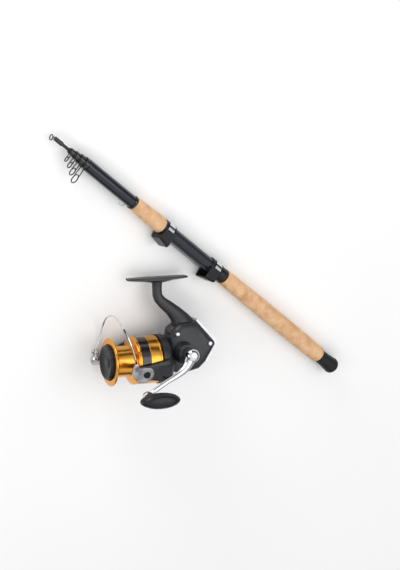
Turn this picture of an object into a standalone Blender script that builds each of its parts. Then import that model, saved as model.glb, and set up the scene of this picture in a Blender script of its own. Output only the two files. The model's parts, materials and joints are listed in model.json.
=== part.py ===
"""Telescopic fishing rod with a spinning reel lying beside its seat.

Every size below is in millimetres and the meshes are built in metres.
The rod's own frame has +X towards the tip, +Y to the left and +Z away from the reel. The reel's own
frame has the same directions when the reel sits on the rod, and its origin is on the spool's axis at
the spool's front face. Both frames are rolled by LIE_ROLL, because the rod lies on a flat surface.
"""

from math import atan2, cos, pi, radians, sin

import bmesh
import bpy
from mathutils import Matrix, Vector

MM = 0.001
GAP = 0.3  # between two pieces that touch

# How the two things lie
LIE_ROLL = radians(18.0)  # roll of rod and reel about their own length
FIT_ANGLE = radians(39.0)  # how far the reel is swung out from the seat
FIT_RADIUS = 45.0  # from the swing's pivot to the rear end of the foot
FIT_LEAD = radians(16.0)  # how far the foot's end runs askew as it enters the hood

# Rod
BLANK_RADIUS = 7.3
BLANK_WALL = 0.9
BLANK_FRONT = 182.0
SECTION_COUNT = 5
SECTION_STEP = 7.4  # how far each thinner section stands out of the one before
SECTION_CLEARANCE = 0.4
SECTION_WALLS = (0.7, 0.65, 0.6, 0.6, 0.4)
SECTION_LENGTH = 415.0
GUIDE_RING_RADII = (5.4, 4.5, 3.5, 2.8)  # middle of each guide's ring wire
GUIDE_REACH = (21.0, 16.5, 12.6, 9.8)  # from the rod's axis to the middle of the ring
GUIDE_WIRE = 0.7  # wire radius
GUIDE_SLEEVE = 5.0

SEAT_RADIUS = 8.3
BED_DEPTH = 8.8  # from the rod's axis to the flat that the foot sits on
BED_WIDTH = 10.0
HOOD_RADIUS = 9.7
HOOD_CLEARANCE = 0.35
HOOD_STROKE = 13.0
HOOD_WALL = 1.6
REAR_HOOD_LENGTH = 18.0
FRONT_HOOD_LENGTH = 16.0
POCKET_DEPTH = 13.0
POCKET_MOUTH = 7.0  # height of the pocket's mouth
POCKET_END = 4.2  # height of the pocket's closed end
POCKET_SIDE = 2.0  # sideways room on each side of the foot
FOOT_ENTRY = 10.0  # how deep the foot goes into the rear hood
FRONT_CLEARANCE = 4.0  # from the foot to the front hood before the rear hood pushes it in
NUT_LENGTH = 10.0
NUT_RADIUS = 8.9
FOREGRIP_LENGTH = 47.0
FOREGRIP_FRONT_RADIUS = 8.0
FOREGRIP_REAR_RADIUS = 9.4
GRIP_LENGTH = 180.0
GRIP_RADIUS = 10.4
GRIP_FRONT_RADIUS = 9.3
GRIP_REAR_RADIUS = 9.9
CAP_LENGTH = 30.0
CAP_NECK_RADIUS = 7.6
CAP_RADIUS = 9.9

# Reel
FOOT_LENGTH = 72.0
FOOT_WIDTH = 18.0
FOOT_END_WIDTH = 14.0
FOOT_END_THICKNESS = 2.6
FOOT_HEIGHT = 95.0  # from the spool's axis to the top of the foot
FOOT_MIDDLE = -61.0  # where the middle of the foot is along the reel
SPOOL_RADIUS = 28.0
SKIRT_RADIUS = 27.8
SKIRT_WALL = 1.4
SKIRT_END = -57.0
ARBOR_RADIUS = 18.0
ARBOR_FRONT = -5.6
ARBOR_REAR = -26.0
BAND_FRONT = -31.5
BAND_REAR = -42.5
SPOOL_STROKE = 14.0
SHAFT_RADIUS = 2.4
BORE_CLEARANCE = 0.45
KNOB_RADIUS = 20.4  # drag knob
ROTOR_ANGLE = radians(-19.5)  # the near arm hangs this far below level
ROTOR_RADIUS = 28.8
ROTOR_BACK = -71.0
ARM_IN = 29.0  # inner and outer faces of the rotor's arms
ARM_OUT = 33.0
PIVOT_X = -34.0
BAIL_THICKNESS = 3.0
BAIL_WIRE = 1.1  # wire radius
ROLLER_RADIUS = 4.6
PINION_RADIUS = 3.3
PINION_TOOTH_RADIUS = 4.8
HANDLE_X = -87.0
HANDLE_Z = 7.5
DRIVE_SHAFT_RADIUS = 4.0
GEAR_RADIUS = 9.5
BODY_RIGHT = -18.0
BODY_LEFT = 8.0
COVER_THICKNESS = 6.5
BODY_WALL = 2.0
BOSS_END = 31.0
BOSS_RADIUS = 12.0
CRANK_LENGTH = 72.0
CRANK_ANGLE = radians(-35.0)  # from straight forward, seen from the left
KNOB_LENGTH = 48.0


# ---------------------------------------------------------------- building blocks
def clear_scene():
    for old in list(bpy.data.objects):
        bpy.data.objects.remove(old, do_unlink=True)


def material(name, colour, roughness, metallic=0.0):
    made = bpy.data.materials.new(name)
    made.use_nodes = True
    shader = made.node_tree.nodes["Principled BSDF"]
    shader.inputs["Base Color"].default_value = (*colour, 1.0)
    shader.inputs["Roughness"].default_value = roughness
    shader.inputs["Metallic"].default_value = metallic
    return made


def frame_empty(name, matrix, parent=None):
    """An empty that holds a local frame, given in millimetres."""
    made = bpy.data.objects.new(name, None)
    bpy.context.collection.objects.link(made)
    made.parent = parent
    local = matrix.copy()
    local.translation = matrix.translation * MM
    made.matrix_local = local
    return made


def object_of(name, mesh_points, faces, paint, parent, origin=(0, 0, 0)):
    """A mesh object from points in millimetres, with its origin where asked."""
    start = Vector(origin)
    shape = bmesh.new()
    verts = [shape.verts.new((Vector(p) - start) * MM) for p in mesh_points]
    for face in faces:
        shape.faces.new([verts[i] for i in face])
    bmesh.ops.remove_doubles(shape, verts=shape.verts, dist=1e-7)
    bmesh.ops.recalc_face_normals(shape, faces=shape.faces)
    if shape.calc_volume(signed=True) < 0:
        bmesh.ops.reverse_faces(shape, faces=shape.faces)
    mesh = bpy.data.meshes.new(name)
    shape.to_mesh(mesh)
    shape.free()
    mesh.shade_smooth()
    mesh.set_sharp_from_angle(angle=radians(35))
    made = bpy.data.objects.new(name, mesh)
    bpy.context.collection.objects.link(made)
    made.parent = parent
    made.location = start * MM
    if paint:
        mesh.materials.append(paint)
    else:
        made.hide_render = True
        made.display_type = "WIRE"
    return made


def rings_mesh(rings, closed):
    """Points and faces of a surface through rings of points that all hold the same count."""
    count = len(rings[0])
    points = [p for ring in rings for p in ring]
    faces = []
    spans = len(rings) if closed else len(rings) - 1
    for i in range(spans):
        a, b = i * count, (i + 1) % len(rings) * count
        for j in range(count):
            k = (j + 1) % count
            faces.append((a + j, a + k, b + k, b + j))
    if not closed:
        faces.append(tuple(range(count))[::-1])
        faces.append(tuple(range(len(points) - count, len(points))))
    return points, faces


def loft(name, rings, paint, parent, origin=(0, 0, 0)):
    points, faces = rings_mesh(rings, closed=False)
    return object_of(name, points, faces, paint, parent, origin)


def turned(name, profile, paint, parent, centre=(0, 0, 0), axis="X", steps=20):
    """A closed profile of (along, radius) turned about an axis through centre. Radius 0 is on the axis."""
    turn = {
        "X": Matrix.Identity(3),
        "Y": Matrix.Rotation(pi / 2, 3, "Z"),
        "Z": Matrix.Rotation(-pi / 2, 3, "Y"),
    }[axis]
    start = Vector(centre)
    points, index, faces = [], {}, []

    def point(i, s):
        along, radius = profile[i]
        key = (i, 0 if radius == 0 else s % steps)
        if key not in index:
            angle = 2 * pi * key[1] / steps
            spot = Vector((along, radius * cos(angle), radius * sin(angle)))
            index[key] = len(points)
            points.append(start + turn @ spot)
        return index[key]

    for i in range(len(profile)):
        j = (i + 1) % len(profile)
        if profile[i][1] == 0 and profile[j][1] == 0:
            continue
        for s in range(steps):
            corners = [point(i, s), point(j, s), point(j, s + 1), point(i, s + 1)]
            face = [c for n, c in enumerate(corners) if c not in corners[:n]]
            faces.append(tuple(face))
    return object_of(name, points, faces, paint, parent, centre)


def ring_profile(low, high, inner, outer, chamfer=0.0):
    c = chamfer
    if not c:
        return [(low, inner), (low, outer), (high, outer), (high, inner)]
    return [
        (low, inner),
        (low, outer - c),
        (low + c, outer),
        (high - c, outer),
        (high, outer - c),
        (high, inner),
    ]


def disc_profile(low, high, outer, chamfer=0.3):
    return [
        (low, 0),
        (low, outer - chamfer),
        (low + chamfer, outer),
        (high - chamfer, outer),
        (high, outer - chamfer),
        (high, 0),
    ]


def prism(name, outline, low, high, paint, parent, axis="Y", origin=(0, 0, 0)):
    """An outline of (x, z) pulled along Y, of (y, z) pulled along X, or of (x, y) pulled along Z."""

    def place(a, b, along):
        return {"Y": (a, along, b), "X": (along, a, b), "Z": (a, b, along)}[axis]

    rings = [[place(a, b, along) for a, b in outline] for along in (low, high)]
    return loft(name, rings, paint, parent, origin)


def circle(centre, normal, radius, steps, squash=1.0, up=None):
    """A ring of points about centre, square to normal. squash narrows it along up."""
    normal = Vector(normal).normalized()
    up = Vector(up or (0.0, 0.0, 1.0))
    side = up.cross(normal).normalized()
    high = normal.cross(side)
    ring = []
    for s in range(steps):
        angle = 2 * pi * s / steps
        ring.append(Vector(centre) + side * radius * cos(angle) + high * radius * squash * sin(angle))
    return ring


def tube(name, path, radii, paint, parent, steps=10, up=(0, 1, 0), origin=(0, 0, 0), squash=1.0):
    """A round bar along a path. Each ring lies square to the path, and up keeps it from twisting."""
    path = [Vector(p) for p in path]
    if not isinstance(radii, (list, tuple)):
        radii = [radii] * len(path)
    rings = []
    for i, spot in enumerate(path):
        ahead = path[min(i + 1, len(path) - 1)] - path[max(i - 1, 0)]
        rings.append(circle(spot, ahead, radii[i], steps, squash, up))
    return loft(name, rings, paint, parent, origin)


def smooth_path(points, per_span):
    """Points read from a smooth curve that passes through the given ones."""
    spots = [Vector(p) for p in points]
    ends = [2 * spots[0] - spots[1], *spots, 2 * spots[-1] - spots[-2]]
    path = []
    for i in range(1, len(ends) - 2):
        a, b, c, d = ends[i - 1 : i + 3]
        for s in range(per_span):
            t = s / per_span
            path.append(
                0.5 * (2 * b + (c - a) * t + (2 * a - 5 * b + 4 * c - d) * t**2 + (3 * b - a - 3 * c + d) * t**3)
            )
    path.append(spots[-1])
    return path


def boolean(target, other, operation):
    other.hide_render = True
    other.display_type = "WIRE"
    change = target.modifiers.new(other.name, "BOOLEAN")
    change.operation = operation
    change.solver = "EXACT"
    change.object = other


def cut(target, *others):
    for other in others:
        boolean(target, other, "DIFFERENCE")


def join(target, *others):
    for other in others:
        boolean(target, other, "UNION")


# ---------------------------------------------------------------- materials
def make_materials():
    return {
        "blank": material("blank_gloss", (0.012, 0.018, 0.030), 0.12),
        "cork": material("cork", (0.60, 0.40, 0.24), 0.85),
        "rubber": material("butt_rubber", (0.02, 0.02, 0.02), 0.6),
        "seat": material("seat_plastic", (0.025, 0.030, 0.040), 0.35),
        "black": material("black_plastic", (0.02, 0.02, 0.022), 0.4),
        "graphite": material("graphite_body", (0.035, 0.036, 0.040), 0.5),
        "chrome": material("chrome", (0.82, 0.83, 0.85), 0.12, 1.0),
        "silver": material("silver_paint", (0.62, 0.63, 0.65), 0.3, 0.8),
        "gold": material("gold_anodised", (0.83, 0.42, 0.08), 0.25, 1.0),
        "steel": material("steel", (0.55, 0.55, 0.57), 0.3, 1.0),
        "brass": material("gear_brass", (0.70, 0.52, 0.25), 0.35, 1.0),
        "felt": material("drag_felt", (0.30, 0.28, 0.25), 0.9),
        "gloss": material("gloss_black", (0.012, 0.012, 0.014), 0.15),
    }


# ---------------------------------------------------------------- where things are along the rod
REAR_MOUTH = -FOOT_LENGTH / 2 + FOOT_ENTRY
REAR_HOOD_BACK = REAR_MOUTH - REAR_HOOD_LENGTH
NUT_BACK = REAR_HOOD_BACK - GAP - NUT_LENGTH
GRIP_FRONT = NUT_BACK - GAP
GRIP_BACK = GRIP_FRONT - GRIP_LENGTH
CAP_FRONT = GRIP_BACK - GAP
CAP_BACK = CAP_FRONT - CAP_LENGTH
FRONT_MOUTH = FOOT_LENGTH / 2 + FRONT_CLEARANCE
FRONT_HOOD_END = FRONT_MOUTH + FRONT_HOOD_LENGTH
FOREGRIP_BACK = FRONT_HOOD_END + GAP
FOREGRIP_FRONT = FOREGRIP_BACK + FOREGRIP_LENGTH
SEAT_BORE = BLANK_RADIUS + GAP
FOOT_TOP_DEPTH = BED_DEPTH + GAP
AXIS_DEPTH = FOOT_TOP_DEPTH + FOOT_HEIGHT


# ---------------------------------------------------------------- rod
def section_radii():
    """Outer and inner radius of each section, from the thickest to the tip."""
    outer, inner = BLANK_RADIUS, BLANK_RADIUS - BLANK_WALL
    radii = []
    for wall in SECTION_WALLS:
        outer = inner - SECTION_CLEARANCE
        inner = outer - wall
        radii.append((outer, inner))
    return radii


def make_blank(rod, paint):
    blank = turned(
        "butt_blank",
        ring_profile(CAP_FRONT - 12, BLANK_FRONT, BLANK_RADIUS - BLANK_WALL, BLANK_RADIUS, 0.3),
        paint["blank"],
        rod,
    )
    turned(
        "winding_check",
        ring_profile(FOREGRIP_FRONT + GAP, FOREGRIP_FRONT + GAP + 3, SEAT_BORE, BLANK_RADIUS + 1.1, 0.3),
        paint["gloss"],
        rod,
    )
    return blank


def make_grips(rod, paint):
    back, front = FOREGRIP_BACK, FOREGRIP_FRONT
    profile = [
        (back, SEAT_BORE),
        (back, FOREGRIP_REAR_RADIUS - 0.4),
        (back + 1, FOREGRIP_REAR_RADIUS),
        (back + 0.4 * (front - back), FOREGRIP_REAR_RADIUS),
        (front - 6, FOREGRIP_FRONT_RADIUS + 0.4),
        (front - 1, FOREGRIP_FRONT_RADIUS),
        (front, FOREGRIP_FRONT_RADIUS - 0.4),
        (front, SEAT_BORE),
    ]
    turned("foregrip", profile, paint["cork"], rod)
    profile = [
        (GRIP_BACK, SEAT_BORE),
        (GRIP_BACK, GRIP_REAR_RADIUS - 1.6),
        (GRIP_BACK + 1.2, GRIP_REAR_RADIUS - 0.4),
        (GRIP_BACK + 3.5, GRIP_REAR_RADIUS),
        (GRIP_BACK + 0.35 * GRIP_LENGTH, GRIP_RADIUS),
        (GRIP_BACK + 0.65 * GRIP_LENGTH, GRIP_RADIUS),
        (GRIP_FRONT - 1, GRIP_FRONT_RADIUS),
        (GRIP_FRONT, GRIP_FRONT_RADIUS - 0.5),
        (GRIP_FRONT, SEAT_BORE),
    ]
    turned("rear_grip", profile, paint["cork"], rod)
    inside = BLANK_RADIUS + GAP
    profile = [
        (CAP_FRONT, inside),
        (CAP_FRONT, CAP_NECK_RADIUS + 0.9),
        (CAP_FRONT - 3, CAP_NECK_RADIUS + 0.7),
        (CAP_FRONT - 12, CAP_NECK_RADIUS + 0.9),
        (CAP_FRONT - 20, CAP_RADIUS - 0.6),
        (CAP_FRONT - 24, CAP_RADIUS),
        (CAP_BACK + 3, CAP_RADIUS - 0.8),
        (CAP_BACK + 0.6, CAP_RADIUS - 3),
        (CAP_BACK, CAP_RADIUS - 5),
        (CAP_BACK, 0),
        (CAP_FRONT - 12 - GAP, 0),
        (CAP_FRONT - 12 - GAP, inside),
    ]
    turned("butt_cap", profile, paint["rubber"], rod)


def hood_shape(name, mouth, length, facing, paint, parent):
    """A ring round the seat with a pocket under it. The mouth faces +X where facing is 1."""
    bore = SEAT_RADIUS + HOOD_CLEARANCE
    back = mouth - facing * length
    closed = mouth - facing * (POCKET_DEPTH + HOOD_WALL)
    low, high = sorted((mouth, back))
    hood = turned(name, ring_profile(low, high, bore, HOOD_RADIUS, 0.5), paint, parent, steps=24)
    roof = BED_DEPTH + GAP
    half = FOOT_END_WIDTH / 2 + POCKET_SIDE

    def mouth_ring(x, height, wall):
        w, top, low_z = half + wall, 3.0 - wall, -roof - height - wall
        r = 2.0
        return [
            (x, -w, -top),
            (x, -w, low_z + r),
            (x, -w + r, low_z),
            (x, w - r, low_z),
            (x, w, low_z + r),
            (x, w, -top),
        ]

    shell = loft(
        name + "_pocket",
        [mouth_ring(mouth, POCKET_MOUTH, HOOD_WALL), mouth_ring(closed, POCKET_END, HOOD_WALL)],
        None,
        parent,
    )
    outside = mouth + facing * 2.0
    mouth_slope = POCKET_MOUTH + (POCKET_MOUTH - POCKET_END) * 2.0 / POCKET_DEPTH

    def hollow_ring(x, height):
        return [
            (x, -half, -roof + 0.4),
            (x, -half, -roof - height),
            (x, half, -roof - height),
            (x, half, -roof + 0.4),
        ]

    hollow = loft(
        name + "_hollow",
        [hollow_ring(outside, mouth_slope), hollow_ring(mouth - facing * POCKET_DEPTH, POCKET_END)],
        None,
        parent,
    )
    bore_cutter = turned(
        name + "_bore",
        disc_profile(low - 2, high + 2, bore, 0.1),
        None,
        parent,
        steps=24,
    )
    bed_room = prism(
        name + "_bed_room",
        [
            (-BED_WIDTH / 2 - 0.5, -BED_DEPTH - 0.45),
            (BED_WIDTH / 2 + 0.5, -BED_DEPTH - 0.45),
            (BED_WIDTH / 2 + 0.5, 0),
            (-BED_WIDTH / 2 - 0.5, 0),
        ],
        low - 2,
        high + 2,
        None,
        parent,
        axis="X",
    )
    join(hood, shell)
    cut(hood, bore_cutter, bed_room, hollow)
    return hood


def hood_plate(name, mouth, length, facing, paint, parent):
    """A bright inlay plate on the left side of a hood."""
    middle = mouth - facing * length * 0.5
    rings = []
    for radius in (HOOD_RADIUS + GAP, HOOD_RADIUS + GAP + 0.7):
        ring = []
        for s in range(9):
            angle = radians(-2 + 8 * s)
            ring.append((middle - 4.5, radius * cos(angle), radius * sin(angle)))
        for s in range(9):
            angle = radians(62 - 8 * s)
            ring.append((middle + 4.5, radius * cos(angle), radius * sin(angle)))
        rings.append(ring)
    points, _ = rings_mesh(rings, closed=False)
    count = len(rings[0])
    faces = [(j, (j + 1) % count, (j + 1) % count + count, j + count) for j in range(count)]
    for base in (0, count):
        for s in range(8):
            faces.append((base + s, base + s + 1, base + count - 2 - s, base + count - 1 - s))
    return object_of(name, points, faces, paint, parent)


def make_seat(rod, hood, nut, paint):
    seat = turned(
        "seat_barrel",
        ring_profile(NUT_BACK + 0.5, FRONT_HOOD_END - 0.5, SEAT_BORE, SEAT_RADIUS),
        paint["seat"],
        rod,
        steps=24,
    )
    bed = prism(
        "seat_bed_pad",
        [(-BED_WIDTH / 2, -BED_DEPTH), (BED_WIDTH / 2, -BED_DEPTH), (BED_WIDTH / 2, -5), (-BED_WIDTH / 2, -5)],
        REAR_MOUTH - 2,
        FRONT_HOOD_END - 3,
        None,
        rod,
        axis="X",
    )
    bore = turned("seat_bore", disc_profile(NUT_BACK - 2, FRONT_HOOD_END + 2, SEAT_BORE, 0.1), None, rod, steps=24)
    join(seat, bed)
    cut(seat, bore)
    hood_shape("front_hood", FRONT_MOUTH, FRONT_HOOD_LENGTH, -1, paint["black"], rod)
    hood_plate("front_hood_plate", FRONT_MOUTH, FRONT_HOOD_LENGTH, -1, paint["chrome"], rod)
    hood_shape("rear_hood", REAR_MOUTH, REAR_HOOD_LENGTH, 1, paint["black"], hood)
    hood_plate("rear_hood_plate", REAR_MOUTH, REAR_HOOD_LENGTH, 1, paint["chrome"], hood)
    low, high = NUT_BACK, REAR_HOOD_BACK - GAP
    bore_radius = SEAT_RADIUS + HOOD_CLEARANCE
    profile = [
        (low, bore_radius),
        (low, NUT_RADIUS - 0.3),
        (low + 0.8, NUT_RADIUS + 0.3),
        (low + 4, NUT_RADIUS + 0.3),
        (low + 4.6, NUT_RADIUS),
        (high - 1, NUT_RADIUS),
        (high, NUT_RADIUS - 0.2),
        (high, bore_radius),
    ]
    turned("lock_nut", profile, paint["black"], nut, steps=24)


def make_hook_keeper(rod, paint):
    """A small wire loop on the blank, with a foot at each end, in front of the foregrip."""
    base = FOREGRIP_FRONT + 12.0
    down = BLANK_RADIUS + GAP
    path = [
        (base - 4, 0, -down - 0.5),
        (base - 1.5, 0, -down - 0.6),
        (base, 0, -down - 3.2),
        (base + 2.5, 0, -down - 4.2),
        (base + 5, 0, -down - 3.2),
        (base + 6.5, 0, -down - 0.6),
        (base + 9, 0, -down - 0.5),
    ]
    tube("hook_keeper", smooth_path(path, 3), 0.45, paint["chrome"], rod, steps=8)


def guide_shape(name, sleeve_low, bore, reach, ring_radius, paint, parent):
    """A sleeve round a section's end, two legs and a ring that stands square to the rod."""
    sleeve = turned(
        name,
        ring_profile(sleeve_low, sleeve_low + GUIDE_SLEEVE, bore, bore + 0.9, 0.2),
        paint,
        parent,
        steps=14,
    )
    ring_x = sleeve_low + GUIDE_SLEEVE / 2 + 0.6
    wire = GUIDE_WIRE
    profile = [(ring_x + wire * cos(2 * pi * s / 8), ring_radius + wire * sin(2 * pi * s / 8)) for s in range(8)]
    ring = turned(name + "_ring", profile, None, parent, centre=(0, 0, -reach), steps=16)
    join(sleeve, ring)
    for side in (-1, 1):
        angle = radians(52)
        start = (ring_x - 0.8, side * (bore + 0.2) * cos(angle), -(bore + 0.2) * sin(angle))
        end = (ring_x, side * ring_radius * cos(radians(25)), -reach + ring_radius * sin(radians(25)))
        middle = (ring_x - 0.3, (start[1] + end[1]) / 2 + side * 0.4, (start[2] + end[2]) / 2)
        leg = tube(f"{name}_leg{side}", [start, middle, end], wire * 0.9, None, parent, steps=8)
        join(sleeve, leg)
    return sleeve


def make_sections(slides, paint):
    """Five tubes one inside the other. Each carries a guide at its end, and the last the tip ring."""
    holder = BLANK_FRONT
    for number, (outer, inner) in enumerate(section_radii(), start=1):
        parent = slides[number - 1]
        front = holder + SECTION_STEP
        last = number == SECTION_COUNT
        length = SECTION_LENGTH - 4.0 * number
        if last:
            profile = disc_profile(front - length, front + 14, outer, 0.2)
        else:
            profile = ring_profile(front - length, front, inner, outer)
        turned(f"section_{number}", profile, paint["blank"], parent, steps=16)
        if last:
            tip_guide(front, outer, paint, parent)
        else:
            guide_shape(
                f"guide_{number}",
                holder + GAP * 2,
                outer + 0.25,
                GUIDE_REACH[number - 1],
                GUIDE_RING_RADII[number - 1],
                paint["gloss"],
                parent,
            )
        holder = front


def tip_guide(front, outer, paint, parent):
    """A small tube over the tip with a ring on a short neck that leans forward."""
    bore = outer + 0.25
    profile = [
        (front + 4, bore),
        (front + 4, bore + 0.6),
        (front + 15.5, bore + 0.5),
        (front + 15.5, 0),
        (front + 14.6, 0),
        (front + 14.6, bore),
    ]
    sleeve = turned("tip_guide", profile, paint["gloss"], parent, steps=14)
    ring_centre = (front + 20, 0, -1.6)
    wire, ring_radius = 0.65, 3.1
    rings = []
    for s in range(16):
        angle = 2 * pi * s / 16
        out = Vector((0.35 * sin(angle), cos(angle), 0.94 * sin(angle)))
        centre = Vector(ring_centre) + out * ring_radius
        across = Vector((0.94, 0, -0.35))
        rings.append([centre + out * wire * cos(a) + across * wire * sin(a) for a in (2 * pi * k / 8 for k in range(8))])
    points, faces = rings_mesh(rings, closed=True)
    ring = object_of("tip_guide_ring", points, faces, None, parent)
    neck = tube("tip_guide_neck", [(front + 14.9, 0, 0), (front + 17.6, 0, 0.3), (front + 20.6, 0, 1.2)], 0.6, None, parent, 8)
    join(sleeve, neck, ring)


# ---------------------------------------------------------------- reel housing
def body_outline(grow=0.0):
    """The gearbox seen from the left, as (x, z). grow moves each corner away from the middle."""
    corners = [
        (-71.6, -13.0),
        (-71.6, 22.0),
        (-77.0, 35.0),
        (-84.0, 41.0),
        (-106.0, 42.0),
        (-128.0, 17.0),
        (-129.0, 14.0),
        (-116.5, -6.0),
        (-108.0, -13.5),
        (-92.0, -17.0),
        (-78.0, -16.0),
    ]
    middle = sum((Vector(c) for c in corners), Vector((0, 0))) / len(corners)
    return [tuple(Vector(c) + (Vector(c) - middle).normalized() * grow) for c in corners]


def make_housing(reel, paint):
    rings = []
    for y, grow in ((BODY_RIGHT, -6.0), (BODY_RIGHT + 2.5, -2.2), (BODY_RIGHT + 7, 0.0), (BODY_LEFT, 0.0)):
        rings.append([(x, y, z) for x, z in body_outline(grow)])
    housing = loft("reel_housing", rings, paint["graphite"], reel)

    stem_sections = (
        # front (x, z), rear (x, z), half width
        ((-53.5, 92.6), (-68.5, 92.6), 7.0),
        ((-55.3, 87.5), (-66.9, 87.5), 5.0),
        ((-55.6, 80.0), (-66.6, 80.0), 4.6),
        ((-56.0, 72.5), (-67.0, 75.0), 4.6),
        ((-58.5, 66.0), (-70.5, 70.8), 5.0),
        ((-65.0, 58.5), (-78.0, 66.0), 5.8),
        ((-73.0, 51.0), (-88.0, 59.0), 7.0),
        ((-78.5, 43.0), (-98.5, 50.5), 9.0),
        ((-80.5, 33.0), (-108.0, 40.5), 11.0),
        ((-84.0, 24.0), (-112.0, 30.0), 11.0),
    )
    stem_rings = []
    for front, rear, half in stem_sections:
        a, b = Vector(front), Vector(rear)
        centre, reach = (a + b) / 2, (a - b) / 2
        ring = []
        for s in range(16):
            angle = 2 * pi * s / 16
            c, d = cos(angle), sin(angle)
            c, d = (abs(v) ** 0.8 * (1 if v > 0 else -1) for v in (c, d))
            ring.append((centre.x + reach.x * c, half * d, centre.y + reach.y * c))
        stem_rings.append(ring)
    stem = loft("housing_stem", stem_rings, None, reel)

    foot_rings = []
    half_length = FOOT_LENGTH / 2
    for share, width, thickness in (
        (-1.0, FOOT_END_WIDTH, FOOT_END_THICKNESS),
        (-0.92, FOOT_END_WIDTH + 1.2, FOOT_END_THICKNESS + 0.2),
        (-0.5, FOOT_WIDTH, FOOT_END_THICKNESS + 1.2),
        (-0.2, FOOT_WIDTH, FOOT_END_THICKNESS + 3.2),
        (0.2, FOOT_WIDTH, FOOT_END_THICKNESS + 3.2),
        (0.5, FOOT_WIDTH, FOOT_END_THICKNESS + 1.4),
        (0.92, FOOT_END_WIDTH + 0.6, FOOT_END_THICKNESS + 0.3),
        (1.0, FOOT_END_WIDTH - 2.0, FOOT_END_THICKNESS),
    ):
        x, w, top = FOOT_MIDDLE + share * half_length, width / 2, FOOT_HEIGHT
        foot_rings.append(
            [
                (x, -w, top - 0.5),
                (x, -w + 0.5, top),
                (x, w - 0.5, top),
                (x, w, top - 0.5),
                (x, w, top - 0.55 * thickness),
                (x, w * 0.55, top - thickness),
                (x, -w * 0.55, top - thickness),
                (x, -w, top - 0.55 * thickness),
            ]
        )
    foot = loft("housing_foot", foot_rings, None, reel)
    nose = turned("housing_nose", disc_profile(-76, -66.6, 12.4, 0.5), None, reel)
    bump = turned("housing_bump", disc_profile(-9, 9, 7.0, 2.0), None, reel, centre=(-80, 0, 31), axis="Y", steps=20)
    cavity = prism("housing_cavity", body_outline(-BODY_WALL * 1.3), BODY_RIGHT + 4.0, BODY_LEFT + 2, None, reel)
    pinion_bore = turned("housing_pinion_bore", disc_profile(-82, -64, 8.3, 0.1), None, reel, steps=24)
    shaft_bore = turned(
        "housing_shaft_bore",
        disc_profile(BODY_RIGHT - 4, BODY_RIGHT + 8, 7.0, 0.1),
        None,
        reel,
        centre=(HANDLE_X, 0, HANDLE_Z),
        axis="Y",
        steps=20,
    )
    cover_room = prism("housing_cover_room", body_outline(0.5), BODY_LEFT, BODY_LEFT + 12, None, reel)
    join(housing, stem, foot, nose, bump)
    cut(housing, cover_room)
    cut(housing, cavity, pinion_bore, shaft_bore)
    for number, (x, z) in enumerate(screw_spots()):
        hole = turned(
            f"housing_screw_hole_{number}",
            disc_profile(BODY_LEFT - 1.0, BODY_LEFT + 3, 1.6, 0.1),
            None,
            reel,
            centre=(x, 0, z),
            axis="Y",
            steps=12,
        )
        cut(housing, hole)


def screw_spots():
    return ((-80.0, 29.0), (-120.5, 15.5))


def make_side_cover(reel, paint):
    low = BODY_LEFT + GAP
    high = low + COVER_THICKNESS
    rings = []
    for y, grow in ((low, 0.0), (low + 1.8, -0.3), (high - 1.8, -2.6), (high, -6.5)):
        rings.append([(x, y, z) for x, z in body_outline(grow)])
    cover = loft("side_cover", rings, paint["graphite"], reel)
    profile = [
        (low + 1, 0),
        (low + 1, BOSS_RADIUS + 1.5),
        (high, BOSS_RADIUS + 1.0),
        (high + 3, BOSS_RADIUS),
        (BOSS_END - 1, BOSS_RADIUS - 0.6),
        (BOSS_END, BOSS_RADIUS - 1.4),
        (BOSS_END, 0),
    ]
    boss = turned("side_cover_boss", profile, None, reel, centre=(HANDLE_X, 0, HANDLE_Z), axis="Y", steps=28)
    hollow = prism("side_cover_hollow", body_outline(-8.0), low - 2, low + 2.2, None, reel)
    bore = turned(
        "side_cover_bore",
        disc_profile(low - 2, BOSS_END + 2, DRIVE_SHAFT_RADIUS + BORE_CLEARANCE, 0.1),
        None,
        reel,
        centre=(HANDLE_X, 0, HANDLE_Z),
        axis="Y",
        steps=20,
    )
    bearing_seat = turned(
        "side_cover_bearing_seat",
        disc_profile(low - 2, high + 1, 8.3, 0.1),
        None,
        reel,
        centre=(HANDLE_X, 0, HANDLE_Z),
        axis="Y",
        steps=24,
    )
    join(cover, boss)
    cut(cover, hollow, bore, bearing_seat)
    for number, (x, z) in enumerate(screw_spots()):
        lug = turned(
            f"side_cover_lug_{number}",
            disc_profile(low + 0.5, high + 0.6, 3.6, 0.4),
            None,
            reel,
            centre=(x, 0, z),
            axis="Y",
            steps=16,
        )
        hole = turned(
            f"side_cover_hole_{number}",
            disc_profile(low - 3, high + 3, 1.5, 0.1),
            None,
            reel,
            centre=(x, 0, z),
            axis="Y",
            steps=12,
        )
        join(cover, lug)
        cut(cover, hole)
        profile = [
            (BODY_LEFT - 0.6, 0),
            (BODY_LEFT - 0.6, 1.2),
            (high + 0.9, 1.2),
            (high + 0.9, 2.6),
            (high + 1.7, 2.3),
            (high + 2.0, 1.4),
            (high + 2.0, 0),
        ]
        turned(
            f"cover_screw_{number + 1}", profile, paint["steel"], reel, centre=(x, 0, z), axis="Y", steps=14
        )


def make_rear_guard(reel, paint):
    """A bright bumper that follows the gearbox's back edge."""
    back = [(-106.0, 42.0), (-128.0, 17.0), (-129.0, 14.0), (-116.5, -6.0)]

    def moved(distance):
        line = []
        for i, spot in enumerate(back):
            before = Vector(back[max(i - 1, 0)])
            after = Vector(back[min(i + 1, len(back) - 1)])
            along = (after - before).normalized()
            out = Vector((along.y, -along.x))
            if out.x > 0:
                out = -out
            line.append(tuple(Vector(spot) + out * distance))
        return line

    inner, outer = moved(0.5), moved(3.2)
    prism("rear_guard", inner + outer[::-1], -11.5, 7.5, paint["silver"], reel)


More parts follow.
